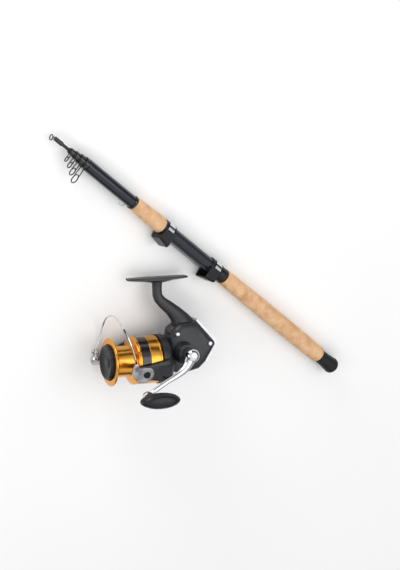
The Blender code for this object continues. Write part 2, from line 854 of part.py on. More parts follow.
def make_gear_train(reel, drive, rotor, oscillator, shaft, paint):
    centre = (HANDLE_X, 0, HANDLE_Z)
    high = BODY_LEFT + GAP + COVER_THICKNESS
    bearing_y = BODY_LEFT + 3.2
    turned(
        "left_bearing",
        ring_profile(bearing_y, high + 0.6, DRIVE_SHAFT_RADIUS + BORE_CLEARANCE, 8.0, 0.3),
        paint["steel"],
        reel,
        centre=centre,
        axis="Y",
        steps=20,
    )
    turned(
        "right_bearing",
        ring_profile(BODY_RIGHT + 0.6, BODY_RIGHT + 4.0, DRIVE_SHAFT_RADIUS + BORE_CLEARANCE, 6.7, 0.3),
        paint["steel"],
        reel,
        centre=centre,
        axis="Y",
        steps=20,
    )
    profile = [
        (BODY_RIGHT + 0.2, 0),
        (BODY_RIGHT + 0.2, 6.5),
        (BODY_RIGHT - 1.0, 9.5),
        (BODY_RIGHT - 3.5, 9.2),
        (BODY_RIGHT - 5.0, 6.5),
        (BODY_RIGHT - 5.4, 0),
    ]
    turned("shaft_cap", profile, paint["black"], reel, centre=centre, axis="Y", steps=24)

    teeth = 40
    gear_rings = []
    for y, shrink in ((5.1, 0.0), (7.4, 0.0)):
        ring = []
        for s in range(teeth * 2):
            angle = 2 * pi * s / (teeth * 2)
            radius = GEAR_RADIUS - shrink - (0.7 if s % 2 else 0.0)
            ring.append((HANDLE_X + radius * cos(angle), y, HANDLE_Z + radius * sin(angle)))
        gear_rings.append(ring)
    gear = loft("drive_gear", gear_rings, paint["brass"], drive, origin=centre)
    shaft_profile = disc_profile(BODY_RIGHT + 1.2, BOSS_END + 2.6, DRIVE_SHAFT_RADIUS, 0.3)
    gear_shaft = turned("drive_gear_shaft", shaft_profile, None, drive, centre=centre, axis="Y", steps=20)
    join(gear, gear_shaft)

    turned(
        "oscillator_gear",
        ring_profile(-12.4, -9.6, 1.9, 6.2, 0.3),
        paint["brass"],
        oscillator,
        centre=(OSCILLATOR_X, 0, OSCILLATOR_Z),
        axis="Y",
        steps=24,
    )
    turned(
        "oscillator_pin",
        disc_profile(BODY_RIGHT + 4.3, -8.8, 1.5, 0.2),
        paint["steel"],
        reel,
        centre=(OSCILLATOR_X, 0, OSCILLATOR_Z),
        axis="Y",
        steps=12,
    )

    teeth = 8
    tooth_rings = []
    for x in (-83.5, -77.6):
        ring = []
        for s in range(teeth * 4):
            angle = 2 * pi * s / (teeth * 4) + (x + 83.5) * 0.09
            radius = PINION_TOOTH_RADIUS - (1.0 if s % 4 in (2, 3) else 0.0)
            ring.append((x, radius * cos(angle), radius * sin(angle)))
        tooth_rings.append(ring)
    pinion = turned(
        "pinion_gear",
        ring_profile(-92.4, -58.5, SHAFT_RADIUS + BORE_CLEARANCE, PINION_RADIUS, 0.0),
        paint["brass"],
        rotor,
        steps=24,
    )
    tooth_bar = loft("pinion_teeth", tooth_rings, None, rotor)
    pinion_bore = turned("pinion_bore", disc_profile(-101, -57, SHAFT_RADIUS + BORE_CLEARANCE, 0.1), None, rotor, steps=24)
    join(pinion, tooth_bar)
    cut(pinion, pinion_bore)
    inner = PINION_RADIUS + 0.35
    turned("pinion_bearing", ring_profile(-76.9, -73.6, inner, 8.0, 0.3), paint["steel"], reel, steps=24)
    turned("one_way_clutch", ring_profile(-73.2, -67.0, inner, 8.0, 0.3), paint["steel"], reel, steps=24)

    turned("main_shaft", disc_profile(-113.4, -1.0, SHAFT_RADIUS, 0.4), paint["steel"], shaft, steps=16)
    slider = prism(
        "crosswind_slider",
        [(-4.5, -6.0), (4.5, -6.0), (4.5, 2.7), (-4.5, 2.7)],
        -112.2,
        -106.9,
        paint["steel"],
        shaft,
        axis="X",
    )
    slider_bore = turned("slider_bore", disc_profile(-116, -100, SHAFT_RADIUS + GAP, 0.1), None, shaft, steps=16)
    cut(slider, slider_bore)


OSCILLATOR_X = -107.0
OSCILLATOR_Z = -2.0


# ---------------------------------------------------------------- rotor and bail
def arm_rings(side):
    """The rotor's arm as rings across X. side is 1 for the near arm and -1 for the far one."""
    sections = (
        # x, inner y, outer y, half width
        (-70.6, 17.0, 27.5, 12.0),
        (-67.0, 20.0, 31.0, 14.0),
        (-60.0, ARM_IN - 3.5, ARM_OUT, 13.5),
        (-57.6, ARM_IN, ARM_OUT, 13.0),
        (-48.0, ARM_IN, ARM_OUT, 11.0),
        (-38.0, ARM_IN, ARM_OUT, 9.0),
        (-30.0, ARM_IN, ARM_OUT, 7.5),
        (-25.5, ARM_IN + 0.6, ARM_OUT - 0.6, 4.5),
    )
    rings = []
    for x, inner, outer, half in sections:
        edge = (outer - inner) * 0.35
        rings.append(
            [
                (x, side * inner, -half),
                (x, side * (outer - edge), -half),
                (x, side * outer, -half * 0.72),
                (x, side * outer, half * 0.72),
                (x, side * (outer - edge), half),
                (x, side * inner, half),
            ]
        )
    return rings


def make_rotor(rotor, paint):
    bore = PINION_RADIUS + 0.4
    inner_cup = SKIRT_RADIUS - SKIRT_WALL - 1.0
    profile = [
        (-66.0, bore),
        (-66.0, 13.2),
        (ROTOR_BACK, 13.2),
        (ROTOR_BACK, 21.5),
        (ROTOR_BACK + 1.2, 25.0),
        (ROTOR_BACK + 4.0, 27.8),
        (ROTOR_BACK + 7.0, ROTOR_RADIUS),
        (SKIRT_END - 1.2, ROTOR_RADIUS),
        (SKIRT_END - 1.0, inner_cup),
        (-38.0, inner_cup),
        (-38.0, inner_cup - 1.6),
        (-62.5, inner_cup - 1.6),
        (-62.5, bore),
    ]
    cup = turned("rotor", profile, paint["graphite"], rotor, steps=28)
    for side, label in ((1, "near"), (-1, "far")):
        arm = loft(f"rotor_{label}_arm", arm_rings(side), None, rotor)
        join(cup, arm)
        hole = turned(
            f"rotor_{label}_pivot_hole",
            disc_profile(ARM_IN - 2, ARM_OUT + 2, 2.3, 0.1),
            None,
            rotor,
            centre=(PIVOT_X, 0, 0) if side == 1 else (PIVOT_X, -ARM_IN - ARM_OUT, 0),
            axis="Y",
            steps=14,
        )
        cut(cup, hole)
    skirt_room = turned(
        "rotor_skirt_room",
        ring_profile(SKIRT_END - 0.9, -20, inner_cup, SKIRT_RADIUS + 0.6),
        None,
        rotor,
        steps=28,
    )
    cut(cup, skirt_room)
    window = prism(
        "rotor_window",
        [(-67.5, -10.0), (-67.5, 6.5), (-51.5, 7.5), (-48.5, 4.0), (-56.0, -8.0)],
        ARM_OUT - 2.8,
        ARM_OUT + 3,
        None,
        rotor,
    )
    cut(cup, window)
    outline = [(7.4 * cos(2 * pi * s / 6), 7.4 * sin(2 * pi * s / 6)) for s in range(6)]
    nut = prism("rotor_nut", outline, -62.2, -58.2, paint["steel"], rotor, axis="X")
    nut_bore = turned("rotor_nut_bore", disc_profile(-65, -56, bore, 0.1), None, rotor, steps=20)
    cut(nut, nut_bore)


def bail_plate_outline():
    """The near bail arm from the side, about its pivot: a disc with a hooked prong."""
    disc = [(9.2 * cos(radians(a)), 9.2 * sin(radians(a))) for a in range(115, 291, 25)]
    hook = [(6.5, -8.7), (12.0, -6.8), (16.4, -2.2), (18.4, 4.0), (17.6, 9.5), (15.8, 14.6), (12.8, 14.6)]
    inside = [(11.4, 10.6), (8.0, 8.9), (3.0, 9.1)]
    return disc + hook + inside


def make_bail(bail, roller, rotor, paint):
    low, high = ARM_OUT + 0.4, ARM_OUT + 0.4 + BAIL_THICKNESS
    pivot = (PIVOT_X, 0, 0)
    outline = [(PIVOT_X + a, b) for a, b in bail_plate_outline()]
    plate = loft(
        "bail_near_arm",
        [
            [(x, low, z) for x, z in outline],
            [(x, high - 0.8, z) for x, z in outline],
            [(PIVOT_X + (x - PIVOT_X - 4) * 0.9 + 4, high, z * 0.9) for x, z in outline],
        ],
        paint["silver"],
        bail,
        origin=pivot,
    )
    hole = turned("bail_near_hole", disc_profile(low - 2, high + 2, 2.3, 0.1), None, bail, pivot, "Y", 14)
    cut(plate, hole)
    profile = [
        (ARM_IN + 0.3, 0),
        (ARM_IN + 0.3, 1.9),
        (high + 0.4, 1.9),
        (high + 0.4, 4.2),
        (high + 1.3, 3.8),
        (high + 1.3, 0),
    ]
    turned("near_pivot_screw", profile, paint["black"], rotor, centre=pivot, axis="Y", steps=16)

    far_sections = (
        # x, middle z, half height
        (PIVOT_X - 8.0, 0.0, 3.5),
        (PIVOT_X - 5.5, 0.0, 6.6),
        (PIVOT_X, 0.0, 8.4),
        (PIVOT_X + 8.0, -2.4, 7.6),
        (PIVOT_X + 18.0, -7.0, 6.0),
        (PIVOT_X + 27.0, -12.8, 4.8),
        (ROLLER_X - 4.0, ROLLER_LOW - 3.5, 2.6),
        (ROLLER_X + 3.2, ROLLER_LOW - 3.3, 2.4),
    )
    rings = []
    for x, z, half in far_sections:
        out = high if x < ROLLER_X - 8 else -ROLLER_Y + 3.0
        rings.append([(x, -low, z - half), (x, -out, z - half), (x, -out, z + half), (x, -low, z + half)])
    far = loft("bail_far_arm", rings, paint["silver"], bail, origin=pivot)
    far_hole = turned("bail_far_hole", disc_profile(-high - 3, -low + 2, 2.3, 0.1), None, bail, pivot, "Y", 14)
    pin = turned(
        "roller_pin",
        disc_profile(ROLLER_LOW - 3.0, ROLLER_HIGH + 0.2, 1.5, 0.2),
        None,
        bail,
        centre=(ROLLER_X, ROLLER_Y, 0),
        axis="Z",
        steps=12,
    )
    cut(far, far_hole)
    join(far, pin)
    profile = [
        (-ARM_IN - 0.3, 0),
        (-ARM_IN - 0.3, 1.9),
        (-high - 0.4, 1.9),
        (-high - 0.4, 4.2),
        (-high - 1.3, 3.8),
        (-high - 1.3, 0),
    ]
    turned("far_pivot_screw", profile, paint["black"], rotor, centre=pivot, axis="Y", steps=16)

    middle = (ROLLER_LOW + ROLLER_HIGH) / 2
    profile = [
        (ROLLER_LOW, 1.9),
        (ROLLER_LOW, ROLLER_RADIUS),
        (ROLLER_LOW + 1.2, ROLLER_RADIUS),
        (middle - 1.4, ROLLER_RADIUS - 1.2),
        (middle + 1.4, ROLLER_RADIUS - 1.2),
        (ROLLER_HIGH - 1.2, ROLLER_RADIUS),
        (ROLLER_HIGH, ROLLER_RADIUS),
        (ROLLER_HIGH, 1.9),
    ]
    turned("line_roller", profile, paint["chrome"], roller, centre=(ROLLER_X, ROLLER_Y, 0), axis="Z", steps=22)

    path = smooth_path(
        [
            (PIVOT_X + 14.4, ARM_OUT + 1.9, 14.95),
            (-17.5, 34.2, 22.0),
            (-14.0, 32.4, 32.0),
            (-10.0, 29.8, 42.0),
            (-6.0, 22.5, 51.0),
            (-3.5, 10.0, 56.0),
            (-3.0, -6.0, 55.6),
            (-3.0, -21.0, 49.0),
            (-3.0, -32.0, 38.0),
            (-2.6, -37.8, 23.0),
            (-0.8, -39.0, 8.0),
            (ROLLER_X, ROLLER_Y, ROLLER_HIGH + 3.0),
        ],
        3,
    )
    wire = tube("bail_wire", path, BAIL_WIRE, paint["chrome"], bail, steps=7, up=(1, 0, 0), origin=pivot)
    cone = turned(
        "bail_wire_cone",
        [
            (ROLLER_HIGH + 0.5, 0),
            (ROLLER_HIGH + 0.5, 4.2),
            (ROLLER_HIGH + 1.4, 4.2),
            (ROLLER_HIGH + 4.6, 1.6),
            (ROLLER_HIGH + 4.6, 0),
        ],
        None,
        bail,
        centre=(ROLLER_X, ROLLER_Y, 0),
        axis="Z",
        steps=16,
    )
    join(wire, cone)


ROLLER_X = 2.0
ROLLER_Y = -37.5
ROLLER_LOW = -15.0
ROLLER_HIGH = -6.0


# ---------------------------------------------------------------- spool and drag
def make_spool(spool, shaft, knob, paint):
    bore = SHAFT_RADIUS + BORE_CLEARANCE
    inside = SKIRT_RADIUS - SKIRT_WALL
    profile = [
        (-12.0, bore),
        (-12.0, ARBOR_RADIUS - 1.8),
        (-4.4, ARBOR_RADIUS - 1.8),
        (-4.4, KNOB_RADIUS + 0.6),
        (-0.3, KNOB_RADIUS + 0.6),
        (0.0, KNOB_RADIUS + 1.2),
        (0.0, SPOOL_RADIUS - 1.8),
        (-0.6, SPOOL_RADIUS - 0.5),
        (-1.6, SPOOL_RADIUS),
        (-2.6, SPOOL_RADIUS - 0.4),
        (ARBOR_FRONT + 1.0, SPOOL_RADIUS - 4.5),
        (ARBOR_FRONT, ARBOR_RADIUS + 1.0),
        (ARBOR_FRONT - 0.9, ARBOR_RADIUS),
        (ARBOR_REAR + 0.9, ARBOR_RADIUS),
        (ARBOR_REAR, ARBOR_RADIUS + 1.0),
        (ARBOR_REAR - 1.2, SKIRT_RADIUS - 1.0),
        (ARBOR_REAR - 2.2, SKIRT_RADIUS),
        (BAND_FRONT, SKIRT_RADIUS),
        (BAND_FRONT, SKIRT_RADIUS - 0.7),
        (BAND_REAR, SKIRT_RADIUS - 0.7),
        (BAND_REAR, SKIRT_RADIUS),
        (SKIRT_END + 0.5, SKIRT_RADIUS),
        (SKIRT_END, SKIRT_RADIUS - 0.4),
        (SKIRT_END, inside),
        (-30.0, inside),
        (-30.0, ARBOR_RADIUS - 1.8),
        (-14.0, ARBOR_RADIUS - 1.8),
        (-14.0, 6.0),
        (-33.0, 6.0),
        (-33.0, bore),
    ]
    turned("spool", profile, paint["gold"], spool, steps=28)
    turned(
        "spool_band",
        ring_profile(BAND_REAR + GAP, BAND_FRONT - GAP, SKIRT_RADIUS - 0.4, SKIRT_RADIUS),
        paint["gloss"],
        spool,
        steps=28,
    )
    turned("drag_washers", ring_profile(-11.7, -7.0, bore, ARBOR_RADIUS - 2.2, 0.2), paint["felt"], spool, steps=24)
    turned("drag_retainer", ring_profile(-6.6, -5.6, 9.0, ARBOR_RADIUS - 2.2), paint["steel"], spool, steps=24)
    r = KNOB_RADIUS
    profile = [
        (-4.0, bore),
        (-4.0, r - 0.3),
        (-3.6, r),
        (2.6, r),
        (3.9, r - 0.8),
        (4.2, r - 2.0),
        (3.4, r - 3.4),
        (1.8, r - 6.5),
        (1.0, r - 10.5),
        (1.2, 7.5),
        (2.4, 5.6),
        (2.8, 3.0),
        (2.8, 0),
        (-0.6, 0),
        (-0.6, bore),
    ]
    turned("drag_knob", profile, paint["black"], knob, steps=28)


# ---------------------------------------------------------------- crank
def crank_path():
    """The arm's middle line, from the hub to the knob's post, in the reel's frame."""
    ahead = Vector((cos(CRANK_ANGLE), 0, sin(CRANK_ANGLE)))
    across = Vector((-ahead.z, 0, ahead.x))
    shape = ((0.0, 0.0, 0.0), (0.10, -0.045, 1.0), (0.24, -0.085, 3.0), (0.42, -0.070, 5.0))
    shape += ((0.60, -0.035, 7.0), (0.80, -0.008, 8.5), (1.0, 0.0, 9.5))
    start = Vector((HANDLE_X, BOSS_END + 9.5, HANDLE_Z))
    return [start + ahead * CRANK_LENGTH * a + across * CRANK_LENGTH * b + Vector((0, c, 0)) for a, b, c in shape]


def make_crank(drive, knob, paint):
    centre = (HANDLE_X, 0, HANDLE_Z)
    path = smooth_path(crank_path(), 2)
    last = len(path) - 1
    radii = []
    for i in range(len(path)):
        share = i / last
        radii.append(7.0 - 4.2 * min(share * 1.7, 1.0) + 0.4 * share)
    arm = tube("crank_arm", path, radii, paint["chrome"], drive, steps=12, up=(0, 1, 0), origin=centre, squash=0.8)
    low = BOSS_END + 1.0
    hub = turned(
        "crank_hub",
        [
            (low, 0),
            (low, 7.6),
            (low + 1, 8.0),
            (low + 12.5, 7.6),
            (low + 14.6, 6.0),
            (low + 15.6, 3.2),
            (low + 15.8, 0),
        ],
        None,
        drive,
        centre=centre,
        axis="Y",
        steps=24,
    )
    end = path[-1]
    ball = turned(
        "crank_ball",
        [(end.y + 6.0 * -cos(pi * s / 8), 6.0 * sin(pi * s / 8) if 0 < s < 8 else 0) for s in range(9)],
        None,
        drive,
        centre=(end.x, 0, end.z),
        axis="Y",
        steps=18,
    )
    post = turned(
        "crank_post",
        disc_profile(end.y + 2, end.y + 26, 2.0, 0.3),
        None,
        drive,
        centre=(end.x, 0, end.z),
        axis="Y",
        steps=12,
    )
    socket = turned(
        "crank_socket",
        disc_profile(BOSS_END - 5, BOSS_END + 2.6 + GAP, DRIVE_SHAFT_RADIUS + GAP, 0.1),
        None,
        drive,
        centre=centre,
        axis="Y",
        steps=20,
    )
    join(arm, hub, ball, post)
    cut(arm, socket)
    make_handle_knob(end, knob, paint)


def make_handle_knob(end, knob, paint):
    """A T-shaped grip that turns on the crank's post. Its bar lies across the post."""
    near = end.y + 6.6
    far = near + 33.0
    sections = (
        # y, half length, half height, where the middle of the bar is
        (near, 5.6, 5.6, 0.0),
        (near + 4.0, 5.9, 5.6, 0.0),
        (near + 9.0, 6.6, 5.4, 1.0),
        (near + 14.0, 11.0, 6.0, 2.0),
        (near + 18.5, KNOB_LENGTH * 0.42, 7.6, 3.0),
        (near + 22.5, KNOB_LENGTH * 0.5, 9.0, 3.0),
        (near + 27.5, KNOB_LENGTH * 0.48, 9.0, 3.0),
        (near + 31.5, KNOB_LENGTH * 0.38, 6.8, 3.0),
        (far, KNOB_LENGTH * 0.25, 4.2, 3.0),
    )
    rings = []
    for y, length, height, shift in sections:
        ring = []
        for s in range(20):
            angle = 2 * pi * s / 20
            ring.append((end.x - shift + length * cos(angle), y, end.z + height * sin(angle)))
        rings.append(ring)
    grip = loft("handle_knob", rings, paint["black"], knob, origin=(end.x, end.y, end.z))
    hole = turned(
        "handle_knob_hole",
        disc_profile(near - 2, end.y + 26 + 0.5, 2.0 + BORE_CLEARANCE, 0.1),
        None,
        knob,
        centre=(end.x, 0, end.z),
        axis="Y",
        steps=14,
    )
    cut(grip, hole)


# ---------------------------------------------------------------- assembly
def rod_matrix():
    """The rod's frame: tip towards -X, rolled so that the reel's side looks along -Y and up."""
    height = GRIP_RADIUS
    return Matrix(
        (
            (-1.0, 0.0, 0.0, 0.0),
            (0.0, sin(LIE_ROLL), cos(LIE_ROLL), 0.0),
            (0.0, cos(LIE_ROLL), -sin(LIE_ROLL), height),
            (0.0, 0.0, 0.0, 1.0),
        )
    )


def seated_matrix():
    """The reel's frame in the rod's, when its foot lies in the seat."""
    return Matrix.Translation((-FOOT_MIDDLE, 0.0, -AXIS_DEPTH))


def fit_pivot():
    """Where the upright axis stands that swings the reel between the seat and the surface."""
    foot_end = rod_matrix() @ Vector((-FOOT_LENGTH / 2, 0.0, -FOOT_TOP_DEPTH))
    return foot_end + Vector((sin(FIT_LEAD), -cos(FIT_LEAD), 0.0)) * FIT_RADIUS


def resting_matrix():
    pivot = fit_pivot()
    swing = Matrix.Translation(pivot) @ Matrix.Rotation(FIT_ANGLE, 4, "Z") @ Matrix.Translation(-pivot)
    return swing @ rod_matrix() @ seated_matrix()


def settle(root):
    """Puts the middle of the whole object's footprint at the origin."""
    bpy.context.view_layer.update()
    graph = bpy.context.evaluated_depsgraph_get()
    corners = []
    for node in bpy.context.scene.objects:
        if node.type == "MESH" and not node.hide_render:
            shown = node.evaluated_get(graph)
            corners += [shown.matrix_world @ v.co for v in shown.data.vertices]
    low = Vector([min(c[i] for c in corners) for i in range(3)])
    high = Vector([max(c[i] for c in corners) for i in range(3)])
    root.location = (-(low.x + high.x) / 2, -(low.y + high.y) / 2, -low.z)


def main():
    clear_scene()
    paint = make_materials()
    root = frame_empty("object_frame", Matrix.Identity(4))
    rod = frame_empty("rod_frame", rod_matrix(), root)
    hood = frame_empty("hood_slide_frame", Matrix.Identity(4), rod)
    nut = frame_empty("lock_nut_frame", Matrix.Identity(4), rod)
    slides = [frame_empty(f"section_{n}_frame", Matrix.Identity(4), rod) for n in range(1, SECTION_COUNT + 1)]
    reel = frame_empty("reel_frame", resting_matrix(), root)
    rotor = frame_empty("rotor_frame", Matrix.Rotation(ROTOR_ANGLE, 4, "X"), reel)
    bail = frame_empty("bail_frame", Matrix.Identity(4), rotor)
    roller = frame_empty("roller_frame", Matrix.Identity(4), bail)
    shaft = frame_empty("shaft_frame", Matrix.Identity(4), reel)
    spool = frame_empty("spool_frame", Matrix.Identity(4), shaft)
    drag = frame_empty("drag_knob_frame", Matrix.Identity(4), shaft)
    drive = frame_empty("drive_frame", Matrix.Identity(4), reel)
    oscillator = frame_empty("oscillator_frame", Matrix.Identity(4), reel)
    knob = frame_empty("handle_knob_frame", Matrix.Identity(4), drive)

    make_blank(rod, paint)
    make_grips(rod, paint)
    make_seat(rod, hood, nut, paint)
    make_hook_keeper(rod, paint)
    make_sections(slides, paint)
    make_housing(reel, paint)
    make_side_cover(reel, paint)
    make_rear_guard(reel, paint)
    make_gear_train(reel, drive, rotor, oscillator, shaft, paint)
    make_rotor(rotor, paint)
    make_bail(bail, roller, rotor, paint)
    make_spool(spool, shaft, drag, paint)
    make_crank(drive, knob, paint)
    settle(root)


main()
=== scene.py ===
"""Looks for the fishing rod and its spinning reel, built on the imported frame."""

import json
from math import cos, pi, radians, sin

import bmesh
import bpy
from mathutils import Matrix, Vector


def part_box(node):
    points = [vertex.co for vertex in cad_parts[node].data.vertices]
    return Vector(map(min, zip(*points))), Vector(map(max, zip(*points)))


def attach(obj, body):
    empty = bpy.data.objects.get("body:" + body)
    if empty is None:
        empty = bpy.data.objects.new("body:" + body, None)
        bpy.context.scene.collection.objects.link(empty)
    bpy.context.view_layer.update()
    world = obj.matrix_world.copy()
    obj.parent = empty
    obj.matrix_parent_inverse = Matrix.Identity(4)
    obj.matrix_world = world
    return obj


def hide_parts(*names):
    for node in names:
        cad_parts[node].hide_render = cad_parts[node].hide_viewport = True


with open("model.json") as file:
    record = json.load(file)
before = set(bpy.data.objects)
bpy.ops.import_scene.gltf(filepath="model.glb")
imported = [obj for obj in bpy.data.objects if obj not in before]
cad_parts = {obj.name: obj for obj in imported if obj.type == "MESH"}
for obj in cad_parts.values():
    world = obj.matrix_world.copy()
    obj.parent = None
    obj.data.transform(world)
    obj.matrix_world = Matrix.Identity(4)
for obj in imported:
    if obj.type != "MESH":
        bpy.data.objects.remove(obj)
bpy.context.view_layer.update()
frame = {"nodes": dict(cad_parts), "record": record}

MM = 0.001

joints = {j["name"]: j for j in frame["record"]["behaviour"]["joints"]}
mounts = {m["name"]: m for m in frame["record"]["mounts"]}
ROUND = 64  # sides of a turned shape
INSIDE = 0.999  # keeps a turned shape just inside the CAD piece it replaces


# ---------------------------------------------------------------- local frames
def axes_at(point, x_axis, z_axis):
    """A frame at a point, with its X axis exactly along x_axis and its Z axis near z_axis."""
    x, z = Vector(x_axis).normalized(), Vector(z_axis).normalized()
    y = z.cross(x).normalized()
    z = x.cross(y)
    turn = Matrix((x, y, z)).transposed().to_4x4()
    return Matrix.Translation(Vector(point)) @ turn


rod_x = Vector(joints["hood_slide"]["axis"])
rod_up = -Vector(mounts["seat_bed"]["axis"])
butt = Vector(mounts["butt_end"]["pos_m"])
ROD = axes_at(butt, rod_x, rod_up)

reel_x = Vector(joints["spool_stroke"]["axis"])
reel_left = Vector(joints["handle_turn"]["axis"])
knob_at = Vector(joints["drag_knob_turn"]["pos_m"])
REEL = axes_at(knob_at, reel_x, reel_x.cross(reel_left))


def along_rod(node):
    """The stretch that a rod node takes along the rod, in metres from the butt's end."""
    low, high = (Vector(c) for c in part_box(node))
    return sorted(((low - butt).dot(rod_x), (high - butt).dot(rod_x)))


# ---------------------------------------------------------------- materials
def shader_of(name):
    made = bpy.data.materials.new(name)
    made.use_nodes = True
    tree = made.node_tree
    return made, tree, tree.nodes["Principled BSDF"]


def coords(tree, scale):
    place = tree.nodes.new("ShaderNodeTexCoord")
    mapping = tree.nodes.new("ShaderNodeMapping")
    mapping.inputs["Scale"].default_value = scale
    tree.links.new(place.outputs["Object"], mapping.inputs["Vector"])
    return mapping.outputs["Vector"]


def noise(tree, vector, scale, detail=4.0, rough=0.55):
    node = tree.nodes.new("ShaderNodeTexNoise")
    node.inputs["Scale"].default_value = scale
    node.inputs["Detail"].default_value = detail
    node.inputs["Roughness"].default_value = rough
    tree.links.new(vector, node.inputs["Vector"])
    return node.outputs["Fac"]


def ramp(tree, value, stops):
    node = tree.nodes.new("ShaderNodeValToRGB")
    while len(node.color_ramp.elements) < len(stops):
        node.color_ramp.elements.new(0.5)
    for element, (place, colour) in zip(node.color_ramp.elements, stops):
        element.position = place
        element.color = (*colour, 1.0)
    tree.links.new(value, node.inputs["Fac"])
    return node.outputs["Color"]


def spread(tree, value, low, high):
    node = tree.nodes.new("ShaderNodeMapRange")
    node.inputs["To Min"].default_value = low
    node.inputs["To Max"].default_value = high
    tree.links.new(value, node.inputs["Value"])
    return node.outputs["Result"]


def bump(tree, shader, height, strength, distance):
    node = tree.nodes.new("ShaderNodeBump")
    node.inputs["Strength"].default_value = strength
    node.inputs["Distance"].default_value = distance
    tree.links.new(height, node.inputs["Height"])
    tree.links.new(node.outputs["Normal"], shader.inputs["Normal"])


def plain(name, colour, rough, metallic=0.0, vary=0.12, scale=900.0, depth=0.00005, coat=0.0):
    """Paint, plastic or metal with a fine grain, a roughness that varies and a low bump."""
    made, tree, shader = shader_of(name)
    vector = coords(tree, (1, 1, 1))
    fine = noise(tree, vector, scale)
    broad = noise(tree, vector, scale * 0.05, 3.0)
    dark = tuple(c * (1 - vary) for c in colour)
    light = tuple(min(c * (1 + vary), 1.0) for c in colour)
    colours = ramp(tree, broad, [(0.3, dark), (0.7, light)])
    tree.links.new(colours, shader.inputs["Base Color"])
    tree.links.new(spread(tree, fine, rough * 0.8, rough * 1.2), shader.inputs["Roughness"])
    shader.inputs["Metallic"].default_value = metallic
    shader.inputs["Coat Weight"].default_value = coat
    shader.inputs["Specular IOR Level"].default_value = 0.5 if metallic else 0.3
    shader.inputs["Coat Roughness"].default_value = 0.05
    bump(tree, shader, fine, 0.25, depth)
    return made


def cork_material():
    """Pressed cork: warm tan with darker pits and pale flecks."""
    made, tree, shader = shader_of("cork_looks")
    vector = coords(tree, (1, 1, 1))
    broad = noise(tree, vector, 90.0, 5.0)
    fine = noise(tree, vector, 700.0, 6.0, 0.7)
    body = ramp(
        tree,
        broad,
        [(0.28, (0.52, 0.28, 0.13)), (0.5, (0.68, 0.41, 0.22)), (0.72, (0.76, 0.50, 0.29))],
    )
    cells = tree.nodes.new("ShaderNodeTexVoronoi")
    cells.inputs["Scale"].default_value = 260.0
    tree.links.new(vector, cells.inputs["Vector"])
    pits = ramp(tree, cells.outputs["Distance"], [(0.05, (0.30, 0.17, 0.09)), (0.16, (1, 1, 1))])
    mix = tree.nodes.new("ShaderNodeMix")
    mix.data_type = "RGBA"
    mix.blend_type = "MULTIPLY"
    mix.inputs["Factor"].default_value = 0.55
    tree.links.new(body, mix.inputs["A"])
    tree.links.new(pits, mix.inputs["B"])
    tree.links.new(mix.outputs["Result"], shader.inputs["Base Color"])
    tree.links.new(spread(tree, fine, 0.62, 0.9), shader.inputs["Roughness"])
    bump(tree, shader, fine, 0.5, 0.00025)
    return made


LOOKS = {
    "blank_gloss": plain(
        "blank_looks", (0.004, 0.007, 0.014), 0.16, vary=0.2, scale=500, depth=0.00001, coat=0.4
    ),
    "cork": cork_material(),
    "butt_rubber": plain("rubber_looks", (0.008, 0.008, 0.009), 0.5, scale=1400, depth=0.0001),
    "seat_plastic": plain("seat_looks", (0.010, 0.013, 0.020), 0.3, scale=800, coat=0.3),
    "black_plastic": plain("black_looks", (0.009, 0.009, 0.011), 0.34, scale=1200, depth=0.00004),
    "graphite_body": plain(
        "graphite_looks", (0.016, 0.017, 0.020), 0.40, 0.1, vary=0.15, scale=1500, depth=0.00006
    ),
    "chrome": plain(
        "chrome_looks", (0.66, 0.67, 0.69), 0.12, 1.0, vary=0.04, scale=600, depth=0.00001
    ),
    "silver_paint": plain(
        "silver_looks", (0.42, 0.43, 0.45), 0.28, 0.9, vary=0.06, scale=1500, depth=0.00003
    ),
    "gold_anodised": plain(
        "gold_looks", (0.80, 0.36, 0.055), 0.24, 1.0, vary=0.06, scale=300, depth=0.00003
    ),
    "steel": plain("steel_looks", (0.55, 0.55, 0.57), 0.25, 1.0, vary=0.06, depth=0.00003),
    "gear_brass": plain("brass_looks", (0.70, 0.50, 0.24), 0.3, 1.0, vary=0.06, depth=0.00003),
    "drag_felt": plain(
        "felt_looks", (0.28, 0.26, 0.23), 0.9, vary=0.25, scale=1500, depth=0.0002
    ),
    "gloss_black": plain(
        "gloss_looks", (0.010, 0.010, 0.012), 0.14, scale=700, depth=0.00001, coat=0.6
    ),
}

slot_of = {s["node"]: s["material_slot"] for s in frame["record"]["subparts"]}
for name, node in frame["nodes"].items():
    for place in node.material_slots:
        place.material = LOOKS[slot_of[name]]
    if not node.material_slots:
        node.data.materials.append(LOOKS[slot_of[name]])
    weld = node.modifiers.new("weld", "WELD")
    weld.merge_threshold = 0.000002
    split = node.modifiers.new("sharp_edges", "EDGE_SPLIT")
    split.split_angle = radians(35)
    split.use_edge_sharp = False
    if "custom_normal" in node.data.attributes:
        node.data.attributes.remove(node.data.attributes["custom_normal"])
    node.data.shade_smooth()


# ---------------------------------------------------------------- shapes
def piece(name, points, faces, place, slot, body, angle=35):
    """A mesh from points in millimetres in a local frame. It rides on a body."""
    shape = bmesh.new()
    verts = [shape.verts.new(place @ (Vector(p) * MM)) for p in points]
    for face in faces:
        shape.faces.new([verts[i] for i in face])
    bmesh.ops.remove_doubles(shape, verts=shape.verts, dist=1e-7)
    bmesh.ops.recalc_face_normals(shape, faces=shape.faces)
    if shape.calc_volume(signed=True) < 0:
        bmesh.ops.reverse_faces(shape, faces=shape.faces)
    mesh = bpy.data.meshes.new(name)
    shape.to_mesh(mesh)
    shape.free()
    mesh.shade_smooth()
    mesh.set_sharp_from_angle(angle=radians(angle))
    made = bpy.data.objects.new(name, mesh)
    bpy.context.collection.objects.link(made)
    mesh.materials.append(LOOKS[slot])
    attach(made, body)
    return made


